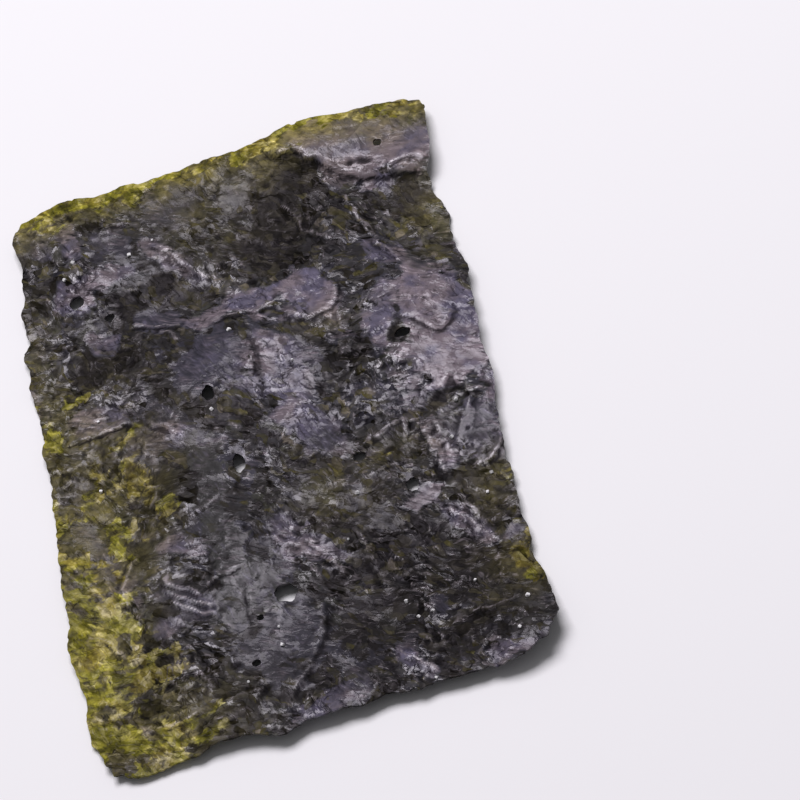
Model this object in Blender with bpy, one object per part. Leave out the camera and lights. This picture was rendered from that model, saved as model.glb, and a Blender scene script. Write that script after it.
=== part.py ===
"""One sheet of roasted, salted nori, cut to snack size: a thin crisp leaf, wavy and torn through in places.

The sheet lies on the plane z = 0 as it would on a table, with its long side along Y and its origin
under the middle. It touches the plane where its waves dip, and stands a few millimetres off it elsewhere.
Runs in Blender 4.5: blender --background --python part.py
"""

import math

import bpy
import numpy as np
from mathutils import Vector, noise

MM = 0.001

# Driving dimensions, in millimetres.
WIDTH = 50.0  # along X
LENGTH = 86.0  # along Y
THICKNESS = 0.25
CELL = 1.5  # about the side of each pair of facets

# How far the leaf stands off the table between its hills and dips.
BASE_LIFT = 0.95

# Hills (and, below zero, dips) of the dried leaf: centre x, y, half widths in x, y, and height.
HILLS = (
    (9.0, 41.0, 13.0, 6.0, 0.8),  # back edge arched up
    (-13.0, 33.0, 7.0, 8.0, 0.8),
    (5.2, 28.6, 3.2, 4.6, -2.2),  # deep dent behind the middle
    (-9.0, 22.0, 12.0, 3.2, -0.9),  # trough across the left half
    (-2.0, 13.0, 9.0, 7.0, 0.9),
    (18.0, 8.0, 7.0, 12.0, 1.7),  # long hill down the right side
    (-6.0, -14.0, 4.5, 17.0, 0.8),  # smooth tongue down the middle
    (-20.0, -24.0, 4.0, 17.0, -1.5),  # left side pressed flat
    (12.0, -27.0, 10.0, 8.0, -1.5),  # sunken front right
    (24.0, -40.0, 6.0, 6.0, 1.6),  # front right corner curled up
    (-24.0, 12.0, 4.0, 14.0, -0.7),
    (1.0, -42.0, 9.0, 4.0, 0.6),  # front edge arched a little
    (20.0, 24.0, 5.0, 5.0, -1.9),
)

# The crease: a ledge that runs to the right edge, with the leaf behind it standing higher.
CREASE_START = (5.0, 39.0)
CREASE_END = (25.0, 29.5)
CREASE_HEIGHT = 1.1
CREASE_RUN = 1.8  # how far the ledge takes to fall
CREASE_BACK = 9.0  # how far behind it the height fades out

# A sharp rib that comes down from the crease.
RIB_START = (12.5, 31.0)
RIB_END = (18.5, 14.5)
RIB_HEIGHT = 0.7
RIB_HALF_WIDTH = 1.3

# Crumpling finer than the hills: amplitude and size of its swells.
CRUMPLE = ((0.5, 8.0), (0.34, 3.7))

# How the four sides depart from straight: place along the side, half width, distance outwards.
LEFT_SIDE = ((-15.0, 12.0, 0.4), (20.0, 8.0, 0.2), (34.0, 4.0, -0.5))
RIGHT_SIDE = ((29.0, 6.0, -1.3), (10.0, 6.0, 0.3), (-18.0, 8.0, -0.5), (-36.0, 5.0, 1.3))
FRONT_SIDE = ((-5.0, 3.0, 0.6), (-10.5, 2.5, -0.5), (6.0, 6.0, -0.3), (18.0, 3.0, 0.3))
BACK_SIDE = ((9.0, 6.0, 0.5), (-8.0, 4.0, -0.3), (-19.0, 3.0, 0.8), (20.0, 3.0, 0.2))
SIDE_DEPTH = 4.0  # how far into the leaf a side's shape carries
RAGGED = ((0.5, 5.0), (0.35, 2.3))  # amplitude and size of the swells of the torn edge

# Rounding of the corners, as half axes in x and y: sign of x, sign of y, along x, along y.
CORNERS = (
    (-1, -1, 4.6, 9.8),
    (1, -1, 3.8, 4.2),
    (-1, 1, 5.0, 3.4),
    (1, 1, 2.6, 2.2),
)

# Holes through the leaf: centre x, y, half widths in x, y.
HOLES = (
    (-1.6, -24.7, 1.35, 1.15),
    (-18.4, 26.6, 0.85, 0.95),
    (-5.6, 6.2, 0.7, 1.0),
    (-3.8, -4.8, 0.65, 1.4),
    (9.0, -8.6, 0.75, 0.7),
    (13.9, -14.7, 0.75, 0.9),
    (16.6, 5.6, 0.9, 0.7),
)

NORI_COLOUR = (0.020, 0.021, 0.018, 1.0)
NORI_ROUGHNESS = 0.42


def bump(distance, half_width):
    return np.exp(-((distance / half_width) ** 2))


def smooth_step(t):
    t = np.clip(t, 0.0, 1.0)
    return t * t * (3.0 - 2.0 * t)


def along_and_off(x, y, start, end):
    """Share of the way from start to end, and distance to the left of that line, for each point."""
    dx, dy = end[0] - start[0], end[1] - start[1]
    length = math.hypot(dx, dy)
    along = ((x - start[0]) * dx + (y - start[1]) * dy) / length**2
    off = ((y - start[1]) * dx - (x - start[0]) * dy) / length
    return along, off


def crease_lift(x, y):
    along, off = along_and_off(x, y, CREASE_START, CREASE_END)
    rise = smooth_step(off / CREASE_RUN + 0.5)
    fade = bump(np.maximum(off, 0.0), CREASE_BACK)
    return CREASE_HEIGHT * rise * fade * smooth_step(along / 0.25 + 0.5)


def rib_lift(x, y):
    along, off = along_and_off(x, y, RIB_START, RIB_END)
    ends = smooth_step(along / 0.2 + 0.3) * smooth_step((1.0 - along) / 0.2 + 0.3)
    return RIB_HEIGHT * bump(off, RIB_HALF_WIDTH) * ends


def form_lift(x, y):
    """Height of the leaf's underside over the table, before it is pressed flat where it would go under."""
    lift = BASE_LIFT + crease_lift(x, y) + rib_lift(x, y)
    for centre_x, centre_y, half_x, half_y, height in HILLS:
        lift = lift + height * bump(x - centre_x, half_x) * bump(y - centre_y, half_y)
    return lift


def swells(x, y, size, layer):
    """Smooth noise between about -1 and 1, whose swells are about this size."""
    points = zip(np.ravel(x) / size, np.ravel(y) / size)
    values = [noise.noise(Vector((px, py, layer + 0.5))) for px, py in points]
    return np.reshape(values, np.shape(x))


def crumple_lift(x, y):
    return sum(amplitude * swells(x, y, size, layer) for layer, (amplitude, size) in enumerate(CRUMPLE))


def side_shape(places, along, side):
    """Distance outwards of one side, at each place along it."""
    out = np.zeros_like(along)
    for centre, half_width, distance in places:
        out += distance * bump(along - centre, half_width)
    for layer, (amplitude, size) in enumerate(RAGGED):
        out += amplitude * swells(along, np.zeros_like(along), size, 10.0 * side + layer)
    return out


def rounded_corners(x, y):
    """Carries the corners of the rectangle onto quarter ellipses."""
    for side_x, side_y, half_x, half_y in CORNERS:
        p = (x * side_x - (WIDTH / 2 - half_x)) / half_x
        q = (y * side_y - (LENGTH / 2 - half_y)) / half_y
        inside = (p > 0.0) & (q > 0.0)
        near_x = side_x * (WIDTH / 2 - half_x + half_x * p * np.sqrt(np.maximum(1.0 - q * q / 2, 0.0)))
        near_y = side_y * (LENGTH / 2 - half_y + half_y * q * np.sqrt(np.maximum(1.0 - p * p / 2, 0.0)))
        x, y = np.where(inside, near_x, x), np.where(inside, near_y, y)
    return x, y


def plan(x, y):
    """Where each point of a plain rectangle goes in the leaf's plan."""
    x, y = rounded_corners(x, y)
    to_left = np.exp(-(x + WIDTH / 2) / SIDE_DEPTH)
    to_right = np.exp(-(WIDTH / 2 - x) / SIDE_DEPTH)
    to_front = np.exp(-(y + LENGTH / 2) / SIDE_DEPTH)
    to_back = np.exp(-(LENGTH / 2 - y) / SIDE_DEPTH)
    moved_x = x - to_left * side_shape(LEFT_SIDE, y, 1) + to_right * side_shape(RIGHT_SIDE, y, 2)
    moved_y = y - to_front * side_shape(FRONT_SIDE, x, 3) + to_back * side_shape(BACK_SIDE, x, 4)
    return moved_x, moved_y


def grid_points():
    """The grid's points in plan, by row, and which of its cells are kept, with the holes opened."""
    columns, rows = round(WIDTH / CELL), round(LENGTH / CELL)
    across = np.linspace(-WIDTH / 2, WIDTH / 2, columns + 1)
    down = np.linspace(-LENGTH / 2, LENGTH / 2, rows + 1)
    x, y = plan(*np.meshgrid(across, down))
    kept = np.ones((rows, columns), bool)
    for centre_x, centre_y, half_x, half_y in HOLES:
        nearest = np.argmin((x - centre_x) ** 2 + (y - centre_y) ** 2)
        row, column = divmod(int(nearest), columns + 1)
        kept[row - 1 : row + 1, column - 1 : column + 1] = False
        for step_y in (-1, 0, 1):
            for step_x in (-1, 0, 1):
                angle = math.atan2(step_y, step_x)
                place = row + step_y, column + step_x
                x[place] = centre_x + half_x * math.cos(angle)
                y[place] = centre_y + half_y * math.sin(angle)
    return x, y, kept


def upper_faces(kept):
    """Both triangles of every kept cell, with the diagonal turned from cell to cell."""
    rows, columns = kept.shape
    faces = []
    for row in range(rows):
        for column in range(columns):
            if not kept[row, column]:
                continue
            near_left = row * (columns + 1) + column
            near_right, far_left = near_left + 1, near_left + columns + 1
            far_right = far_left + 1
            if (row + column) % 2:
                faces.append((near_left, near_right, far_right))
                faces.append((near_left, far_right, far_left))
            else:
                faces.append((near_left, near_right, far_left))
                faces.append((near_right, far_right, far_left))
    return faces


def closed_leaf(x, y, lift, faces):
    """The upper face, the same face turned over below it, and walls along every open edge."""
    count = x.size
    upper = np.stack([x.ravel(), y.ravel(), lift.ravel() + THICKNESS], axis=1)
    lower = np.stack([x.ravel(), y.ravel(), lift.ravel()], axis=1)
    edges = {(a, b) for face in faces for a, b in zip(face, face[1:] + face[:1])}
    walls = []
    for a, b in sorted(edges):
        if (b, a) not in edges:
            walls.append((b, a, a + count))
            walls.append((b, a + count, b + count))
    under = [tuple(point + count for point in reversed(face)) for face in faces]
    every = faces + under + walls
    used = sorted({point for face in every for point in face})
    number = {point: n for n, point in enumerate(used)}
    points = np.concatenate([upper, lower])[used] * MM
    return points.tolist(), [tuple(number[point] for point in face) for face in every]


def nori_material():
    material = bpy.data.materials.new("nori")
    material.use_nodes = True
    shader = material.node_tree.nodes["Principled BSDF"]
    shader.inputs["Base Color"].default_value = NORI_COLOUR
    shader.inputs["Roughness"].default_value = NORI_ROUGHNESS
    shader.inputs["Metallic"].default_value = 0.0
    return material


def nori_sheet():
    x, y, kept = grid_points()
    lift = np.maximum(form_lift(x, y) + crumple_lift(x, y), 0.0)
    points, faces = closed_leaf(x, y, lift, upper_faces(kept))
    mesh = bpy.data.meshes.new("nori_sheet")
    mesh.from_pydata(points, [], faces)
    mesh.shade_smooth()
    mesh.set_sharp_from_angle(angle=math.radians(50.0))
    mesh.materials.append(nori_material())
    sheet = bpy.data.objects.new("nori_sheet", mesh)
    bpy.context.scene.collection.objects.link(sheet)
    return sheet


def main():
    for item in list(bpy.data.objects):
        bpy.data.objects.remove(item)
    nori_sheet()


main()
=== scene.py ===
"""The looks of one sheet of roasted, salted nori.

The leaf's plan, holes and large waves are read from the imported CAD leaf. A denser skin is laid on that
form, with the torn blades of seaweed pressed over one another, their wrinkles and the ragged rim as real
relief. Lengths in this script are in millimetres until a mesh is made.
"""

import math
from functools import reduce
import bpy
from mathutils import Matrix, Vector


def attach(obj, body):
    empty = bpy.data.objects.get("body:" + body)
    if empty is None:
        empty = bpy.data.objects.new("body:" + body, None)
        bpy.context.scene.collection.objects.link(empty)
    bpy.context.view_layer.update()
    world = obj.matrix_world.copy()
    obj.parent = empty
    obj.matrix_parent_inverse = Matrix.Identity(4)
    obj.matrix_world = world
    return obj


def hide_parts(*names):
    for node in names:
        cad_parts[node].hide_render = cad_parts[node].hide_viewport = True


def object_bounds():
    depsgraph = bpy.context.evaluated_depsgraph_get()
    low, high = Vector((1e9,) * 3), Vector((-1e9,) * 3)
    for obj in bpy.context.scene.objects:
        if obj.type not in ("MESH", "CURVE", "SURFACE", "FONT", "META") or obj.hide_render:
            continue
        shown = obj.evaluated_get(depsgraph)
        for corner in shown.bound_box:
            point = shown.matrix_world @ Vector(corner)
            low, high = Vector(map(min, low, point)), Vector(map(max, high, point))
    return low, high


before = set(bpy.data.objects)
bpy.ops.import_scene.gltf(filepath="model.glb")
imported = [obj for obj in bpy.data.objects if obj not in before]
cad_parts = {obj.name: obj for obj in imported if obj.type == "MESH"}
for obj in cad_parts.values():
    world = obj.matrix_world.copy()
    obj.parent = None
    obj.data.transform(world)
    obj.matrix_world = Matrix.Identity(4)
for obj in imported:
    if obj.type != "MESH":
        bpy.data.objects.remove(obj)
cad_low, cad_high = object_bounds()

from types import SimpleNamespace

import bmesh
import bpy
import numpy as np
from mathutils import Matrix, Vector
from mathutils.bvhtree import BVHTree

MM = 0.001
SEED = 20260

# The skin's grid: cells across and along, and the leaf's own thickness.
COLUMNS = 168
ROWS = 288
THICKNESS = 0.2
FORM_SMOOTHING = 2.3  # cells over which the CAD's facets are smoothed away
SHARP_RIM = 62.0  # degrees between faces from which an edge is drawn sharp

# Which way the crumples and the small shards lie, in degrees.
CRUMPLE_LIE = 118.0
SHARD_LIE = 142.0

# Which way the blades and creases mostly lie, in degrees, and over what distance that wanders.
FLOW = 122.0
FLOW_SIZE = 15.0

# Scattered blades: how many, and their half lengths. Creases come in bundles, curls one by one.
LARGE_BLADES = (170, (3.0, 6.5))
SMALL_BLADES = (220, (1.4, 3.0))
CREASE_BUNDLES = 540
CURLS = 1000

# The fields that the mesh carries for the material.
STORED = ("film", "tone", "warm", "olive", "crisp", "thin", "glow", "wrinkled", "line", "cavity")

# Extra pinholes, too small for the CAD: centre x, y and half widths.
PINHOLES = (
    (-15.0, 23.0, 0.6, 0.5),
    (-5.9, -33.0, 0.45, 0.5),
    (18.5, 36.7, 0.5, 0.6),
    (-4.6, -27.2, 0.4, 0.35),
)


# -------------------- noise


def turned(x, y, angle):
    """The same places, measured along and across an angle."""
    c, s = math.cos(angle), math.sin(angle)
    return x * c + y * s, y * c - x * s


def hashed(ix, iy, seed):
    """A number from 0 to 1 for each whole-number place, the same in every run."""
    h = (ix.astype(np.int64) * 374761393 + iy.astype(np.int64) * 668265263 + seed * 144665) & 0xFFFFFFFF
    h = ((h ^ (h >> 13)) * 1274126177) & 0xFFFFFFFF
    h = ((h ^ (h >> 16)) * 2246822519) & 0xFFFFFFFF
    return ((h ^ (h >> 15)) & 0xFFFFFF) / float(0x1000000)


def swell(x, y, seed):
    """Smooth gradient noise, about -1 to 1, whose swells are about 1 across."""
    ix, iy = np.floor(x), np.floor(y)
    fx, fy = x - ix, y - iy
    wx, wy = fx**3 * (fx * (fx * 6 - 15) + 10), fy**3 * (fy * (fy * 6 - 15) + 10)
    total = 0.0
    for cx, share_x in ((0, 1 - wx), (1, wx)):
        for cy, share_y in ((0, 1 - wy), (1, wy)):
            angle = hashed(ix + cx, iy + cy, seed) * math.tau
            slope = np.cos(angle) * (fx - cx) + np.sin(angle) * (fy - cy)
            total = total + share_x * share_y * slope
    return total * 1.5


def fractal(x, y, size, seed, octaves=3):
    """Swells of this size with finer ones on them."""
    total, amplitude = 0.0, 1.0
    for octave in range(octaves):
        total = total + amplitude * swell(x / size, y / size, seed + octave)
        size, amplitude = size / 2.03, amplitude / 2
    return total


def creased(x, y, size, seed):
    """Folded paper: flat swells that meet in sharp ridges, from about -1 to 1."""
    bent_x = x + 0.35 * size * swell(x / size, y / size, seed + 91)
    bent_y = y + 0.35 * size * swell(x / size, y / size, seed + 92)
    return 1.0 - 2.6 * np.abs(swell(bent_x / size, bent_y / size, seed))


def shards(x, y, size, stretch, lie, seed):
    """Flat flakes side by side: the height of each one's tilt, about -0.5 to 0.5, and its own number."""
    bent_x = x + 0.5 * size * swell(x / size / 1.3, y / size / 1.3, seed + 71)
    bent_y = y + 0.5 * size * swell(x / size / 1.3, y / size / 1.3, seed + 72)
    u, v = turned(bent_x, bent_y, lie)
    u, v = u / (size * stretch), v / size
    cell_u, cell_v = np.floor(u), np.floor(v)
    nearest = np.full(x.shape, 9.0)
    height, mark = np.zeros_like(x), np.zeros_like(x)
    for du in (-1, 0, 1):
        for dv in (-1, 0, 1):
            iu, iv = cell_u + du, cell_v + dv
            off_u = u - iu - hashed(iu, iv, seed)
            off_v = v - iv - hashed(iu, iv, seed + 1)
            distance = off_u**2 + off_v**2
            closer = distance < nearest
            nearest = np.where(closer, distance, nearest)
            tilt_u, tilt_v = hashed(iu, iv, seed + 2) - 0.5, hashed(iu, iv, seed + 3) - 0.5
            height = np.where(closer, 1.4 * (off_u * tilt_u + off_v * tilt_v), height)
            mark = np.where(closer, hashed(iu, iv, seed + 4), mark)
    return height, mark


def smooth_step(t):
    t = np.clip(t, 0.0, 1.0)
    return t * t * (3.0 - 2.0 * t)


def blurred(values, cells):
    """Gaussian blur over the grid, with the rim's values carried outwards."""
    reach = int(math.ceil(3 * cells))
    weights = np.exp(-0.5 * (np.arange(-reach, reach + 1) / cells) ** 2)
    weights /= weights.sum()
    for axis in (0, 1):
        pad = [(0, 0), (0, 0)]
        pad[axis] = (reach, reach)
        padded = np.pad(values, pad, mode="edge")
        length = values.shape[axis]
        values = sum(w * np.take(padded, range(k, k + length), axis) for k, w in enumerate(weights))
    return values


# -------------------- the CAD leaf's form


def cad_mesh(node):
    """The node's points in millimetres, with doubled ones merged, and its triangles."""
    mesh = node.data
    points = np.array([node.matrix_world @ v.co for v in mesh.vertices]) / MM
    merged, number = np.unique(np.round(points, 3), axis=0, return_inverse=True)
    number = number.reshape(-1)
    mesh.calc_loop_triangles()
    faces = np.array([[number[v] for v in t.vertices] for t in mesh.loop_triangles])
    a, b, c = (merged[faces[:, k]] for k in range(3))
    normals = np.cross(b - a, c - a)
    return merged, faces, normals / np.maximum(np.linalg.norm(normals, axis=1, keepdims=True), 1e-12)


def rim_loops(points, faces, normals):
    """The closed lines round the upper face: the outline first, then the holes."""
    upper = faces[normals[:, 2] > 0.15]
    edges = {(int(a), int(b)) for t in upper for a, b in zip(t, np.roll(t, -1))}
    follows = {a: b for a, b in edges if (b, a) not in edges}
    loops = []
    while follows:
        start = min(follows)
        loop, place = [start], follows.pop(start)
        while place != start:
            loop.append(place)
            place = follows.pop(place)
        loops.append(points[loop][:, :2])
    return sorted(loops, key=lambda loop: -np.ptp(loop[:, 0]) * np.ptp(loop[:, 1]))


EASING = 14  # how many fine steps a corner is eased over, on each side
FINE_STEPS = 8  # fine steps for each step of the line


def run_lengths(points):
    """How far along the line each of its points lies."""
    return np.r_[0.0, np.cumsum(np.linalg.norm(np.diff(points, axis=0), axis=1))]


def even_line(points, count):
    """The line through these points as count + 1 evenly spaced ones, with its corners eased."""
    along = run_lengths(points)
    fine = np.linspace(0.0, along[-1], FINE_STEPS * count + 1)
    line = np.stack([np.interp(fine, along, points[:, k]) for k in (0, 1)], axis=1)
    weights = np.hanning(2 * EASING + 3)[1:-1]
    weights /= weights.sum()
    before = 2 * line[0] - line[EASING:0:-1]
    after = 2 * line[-1] - line[-2 : -EASING - 2 : -1]
    padded = np.concatenate([before, line, after])
    eased = np.stack([np.convolve(padded[:, k], weights, "valid") for k in (0, 1)], axis=1)
    return eased[::FINE_STEPS]


def ragged_line(points, seed):
    """Nibbles the line inwards, to its left, by the fine steps of a torn edge."""
    along = run_lengths(points)
    heading = np.gradient(points, axis=0)
    heading /= np.linalg.norm(heading, axis=1, keepdims=True)
    inward = np.stack([-heading[:, 1], heading[:, 0]], axis=1)

    def waves(size, layer):
        return swell(along / size, np.zeros_like(along), seed + layer)

    bites = 0.3 * (1 + waves(2.9, 0)) + 0.24 * np.abs(waves(1.9, 1))
    bites += 0.7 * np.maximum(waves(4.0, 3) + 0.3, 0.0) * np.maximum(waves(0.9, 2), 0.0)
    ends = smooth_step(along) * smooth_step(along[-1] - along)
    return points + inward * (bites * ends)[:, None]


def plan_grid(outline):
    """Plan positions of the skin's grid, from four sides of the outline."""
    low, high = outline.min(axis=0), outline.max(axis=0)
    corners = [(low[0], low[1]), (high[0], low[1]), (high[0], high[1]), (low[0], high[1])]
    places = [int(np.argmin(np.linalg.norm(outline - c, axis=1))) for c in corners]
    outline = np.roll(outline, -places[0], axis=0)
    places = [(p - places[0]) % len(outline) for p in places] + [len(outline)]
    outline = np.concatenate([outline, outline[:1]])
    sides = []
    for side, count in enumerate((COLUMNS, ROWS, COLUMNS, ROWS)):
        line = even_line(outline[places[side] : places[side + 1] + 1], count)
        sides.append(ragged_line(line, SEED + 10 * side))
    front, right, back, left = sides[0], sides[1], sides[2][::-1], sides[3][::-1]
    u = np.linspace(0.0, 1.0, COLUMNS + 1)[None, :, None]
    v = np.linspace(0.0, 1.0, ROWS + 1)[:, None, None]
    across = (1 - v) * front[None] + v * back[None]
    along = (1 - u) * left[:, None] + u * right[:, None]
    left_ends = (1 - v) * front[0] + v * back[0]
    right_ends = (1 - v) * front[-1] + v * back[-1]
    plan = across + along - (1 - u) * left_ends - u * right_ends
    return plan[..., 0], plan[..., 1]


def middle_surface(points, faces, x, y):
    """Height of the CAD leaf's middle under each plan position, with its facets smoothed."""
    tree = BVHTree.FromPolygons(points.tolist(), faces.tolist())
    up, down = Vector((0, 0, 1)), Vector((0, 0, -1))
    height = np.full(x.shape, np.nan)
    for place in np.ndindex(x.shape):
        top = tree.ray_cast(Vector((x[place], y[place], 20.0)), down)[0]
        if top is not None:
            bottom = tree.ray_cast(Vector((x[place], y[place], -20.0)), up)[0]
            height[place] = (top.z + bottom.z) / 2
    known = np.isfinite(height)
    share = blurred(known.astype(float), FORM_SMOOTHING)
    return blurred(np.where(known, height, 0.0), FORM_SMOOTHING) / np.maximum(share, 1e-3)


# -------------------- the blades


class Skin:
    """The fields painted over the grid: relief and what the material reads."""

    def __init__(self, x, y):
        self.x, self.y = x, y
        self.blade = np.zeros(x.shape, np.int64)
        self.ripple_u, self.ripple_v = x.copy(), y.copy()
        for name in ("lift", "film", "tone", "warm", "olive", "crisp", "thin", "glow", "line"):
            setattr(self, name, np.zeros_like(x))
        self.wrinkled, self.pick = np.full_like(x, 0.5), np.full_like(x, 0.5)

    def lay(self, centre, half, angle, seed, raised, facing, ragged=0.35, size=0.75, **looks):
        """Presses one torn blade on. Its edge stands proud on the side it faces and melts in elsewhere."""
        reach = 1.6 * max(half)
        near = (np.abs(self.x - centre[0]) < reach) & (np.abs(self.y - centre[1]) < reach)
        px, py = self.x[near] - centre[0], self.y[near] - centre[1]
        u, v = turned(px, py, angle)
        edge = 1.0 - np.sqrt((u / half[0]) ** 2 + (v / half[1]) ** 2)
        edge += ragged * swell(self.x[near] / 2.1, self.y[near] / 2.1, seed)
        edge += 0.5 * ragged * swell(self.x[near] / 0.8, self.y[near] / 0.8, seed + 1)
        cover = edge > 0.0
        inside = np.zeros_like(near)
        inside[near] = cover
        u, v, depth, px, py = u[cover], v[cover], edge[cover] * min(half), px[cover], py[cover]
        ahead = (px * math.cos(facing) + py * math.sin(facing)) / np.maximum(np.hypot(px, py), 1e-6)
        self.lift[inside] += raised * np.exp(-depth / (0.35 * min(half))) * smooth_step(ahead * 0.9 + 0.3)
        self.blade[inside] = seed
        self.ripple_u[inside] = u / size + 37.0 * (seed % 97)
        self.ripple_v[inside] = v / size + 11.0 * (seed % 89)
        for name, value in looks.items():
            getattr(self, name)[inside] = value

    def calm(self):
        """1 inside the blades, falling to 0 where one blade meets another."""
        across = self.blade[:, 1:] != self.blade[:, :-1]
        along = self.blade[1:] != self.blade[:-1]
        meets = np.zeros(self.x.shape, bool)
        meets[:, :-1] |= across
        meets[:, 1:] |= across
        meets[:-1] |= along
        meets[1:] |= along
        return 1.0 - np.clip(3.0 * blurred(meets.astype(float), 1.0), 0.0, 1.0)


def near_spot(x, y, centre, half, turn=0.0):
    """1 at the middle of an oval spot, fading smoothly to 0 outside it."""
    u, v = turned(x - centre[0], y - centre[1], math.radians(turn))
    return np.exp(-((u / half[0]) ** 2 + (v / half[1]) ** 2))


def flow(x, y):
    """Which way the blades mostly lie at a place, as an angle."""
    bend = swell(np.array([x / FLOW_SIZE]), np.array([y / FLOW_SIZE]), SEED + 3)
    return math.radians(FLOW) + 0.9 * float(bend[0])


def lay_blades(skin, count, sizes, rng, low, high):
    """Scatters torn blades over the skin, the later ones on top."""
    for _ in range(count):
        centre = (rng.uniform(low[0], high[0]), rng.uniform(low[1], high[1]))
        length = rng.uniform(*sizes)
        half = (length, length * rng.uniform(0.3, 0.75))
        angle = flow(*centre) + rng.normal(0.0, 0.45)
        smooth = rng.uniform() < 0.5
        skin.lay(
            centre,
            half,
            angle,
            int(rng.integers(1, 10**6)),
            raised=rng.uniform(0.02, 0.12) * math.sqrt(length / 3.0),
            facing=angle + math.pi / 2 * rng.choice((-1, 1)) + rng.normal(0.0, 0.6),
            size=rng.uniform(0.55, 1.0),
            wrinkled=rng.uniform(0.12, 0.35) if smooth else rng.uniform(0.4, 0.9),
            film=float(np.clip(rng.normal(0.64, 0.14) if smooth else rng.normal(0.50, 0.2), 0, 1)),
            tone=rng.uniform(-1, 1),
            warm=rng.uniform(-1, 1),
            pick=rng.uniform(0, 1),
        )


def stripe(off, middle, half):
    """1 along the middle, fading to both sides."""
    return np.exp(-(((off - middle) / half) ** 2))


def one_sided(off, gentle, steep):
    """1 along a line, falling gently on its left and steeply on its right."""
    return np.exp(np.minimum(off, 0.0) / steep - np.maximum(off, 0.0) / gentle)


def strokes(skin, count, rng, low, high):
    """Creases: short curved folds, sharp on one side, in loose bundles. Returns their height and lines,
    whose lips are painted as highlight and feet as shade.
    """
    total, lines = np.zeros_like(skin.x), np.zeros_like(skin.x)
    for bundle in range(count):
        bx, by = rng.uniform(low[0], high[0]), rng.uniform(low[1], high[1])
        lie = flow(bx, by) + rng.normal(0.0, 0.3)
        gap = rng.uniform(0.5, 1.1)
        side = rng.choice((-1.0, 1.0))
        for number in range(rng.integers(2, 6)):
            half = rng.uniform(0.9, 3.2)
            step = number * gap * rng.uniform(0.8, 1.2)
            slide = rng.normal(0.0, 0.6)
            cx = bx - step * math.sin(lie) + slide * math.cos(lie)
            cy = by + step * math.cos(lie) + slide * math.sin(lie)
            turn = lie + rng.normal(0.0, 0.15)
            bend = rng.normal(0.0, 0.12)
            height = rng.uniform(0.04, 0.13) * rng.choice((-0.6, 1.0, 1.0))
            near = (np.abs(skin.x - cx) < half + 2) & (np.abs(skin.y - cy) < half + 2)
            u, v = turned(skin.x[near] - cx, skin.y[near] - cy, turn)
            v = v * side
            v = v + bend * u * u + 0.25 * swell(u / 1.1, v / 3.0, SEED + 200 + bundle)
            fade = np.exp(-((u / half) ** 4))
            total[near] += height * fade * one_sided(v, rng.uniform(0.3, 0.7), 0.16)
            lines[near] += 5.0 * height * fade * (stripe(v, 0.1, 0.2) - stripe(v, -0.32, 0.22))
    return total, lines


def curls(skin, count, rng, low, high):
    """Small sharp curls where the leaf is crisp, with painted highlight on their tops and painted shade
    along their feet. Returns their height and lines.
    """
    total, lines = np.zeros_like(skin.x), np.zeros_like(skin.x)
    for _ in range(count):
        cx, cy = rng.uniform(low[0], high[0]), rng.uniform(low[1], high[1])
        turn = flow(cx, cy) + rng.normal(0.0, 0.55)
        half, bend = rng.uniform(0.6, 1.6), rng.normal(0.0, 0.3)
        height = rng.uniform(0.1, 0.24)
        near = (np.abs(skin.x - cx) < half + 1.2) & (np.abs(skin.y - cy) < half + 1.2)
        u, v = turned(skin.x[near] - cx, skin.y[near] - cy, turn)
        v = v + bend * u * u
        strength = np.exp(-((u / half) ** 4)) * skin.crisp[near]
        total[near] += height * strength * stripe(v, 0.0, 0.24)
        lines[near] += strength * (1.1 * stripe(v, 0.0, 0.2) - 0.8 * stripe(v, -0.45, 0.24))
    return total, lines


def relief(skin, rng, low, high):
    """The whole relief of the skin over the form, from the blades and the crumpling."""
    x, y = skin.x, skin.y
    u, v = skin.ripple_u, skin.ripple_v
    bent = v + 0.7 * swell(u / 3.0, v / 3.0, SEED + 40)
    ripples = 0.5 * (1.0 - 2.4 * np.abs(swell(u / 4.5, bent, SEED + 41)))
    ripples = ripples + 0.35 * swell(u / 3.0, bent / 0.55, SEED + 42)
    along, aside = turned(x, y, math.radians(CRUMPLE_LIE))
    along = along / 2.2
    crumple = 0.10 * creased(x, y, 5.0, SEED + 50) + 0.05 * creased(along, aside, 2.1, SEED + 51)
    large, mark = shards(x, y, 2.6, 1.7, math.radians(CRUMPLE_LIE), SEED + 80)
    small, small_mark = shards(x, y, 1.2, 2.1, math.radians(SHARD_LIE), SEED + 85)
    own = 0.35 * (mark - 0.5) + 0.45 * (small_mark - 0.5)
    skin.tone = np.clip(0.37 * skin.tone + own, -1.0, 1.0)
    skin.wrinkled = blurred(skin.wrinkled, 1.2)
    skin.film = blurred(skin.film, 1.1)
    wrinkled = skin.wrinkled
    most = 0.1 + 0.9 * wrinkled  # a little of the wrinkling shows on the smooth blades too

    folds, fold_lines = strokes(skin, CREASE_BUNDLES, rng, low, high)
    singles, single_lines = single_folds(x, y)
    curled, curl_lines = curls(skin, CURLS, rng, low, high)
    pits = summed(x, y, PITS)
    # Lines for the material: lips take painted highlight, feet and pits painted shade.
    lines = single_lines + (fold_lines + curl_lines) * most
    skin.line = np.clip(lines - 2.5 * pits, -1.0, 1.0)
    rough = 0.04 * creased(along, aside, 1.1, SEED + 52) + 0.12 * small
    fine = wrinkled * (rough + 0.08 * ripples * skin.calm())
    rise = crumple * (0.15 + 0.85 * wrinkled) + 0.20 * large * most + fine
    return blurred(rise, 0.45) + blurred(skin.lift, 0.4) + (folds + curled) * most + singles - pits
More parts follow.
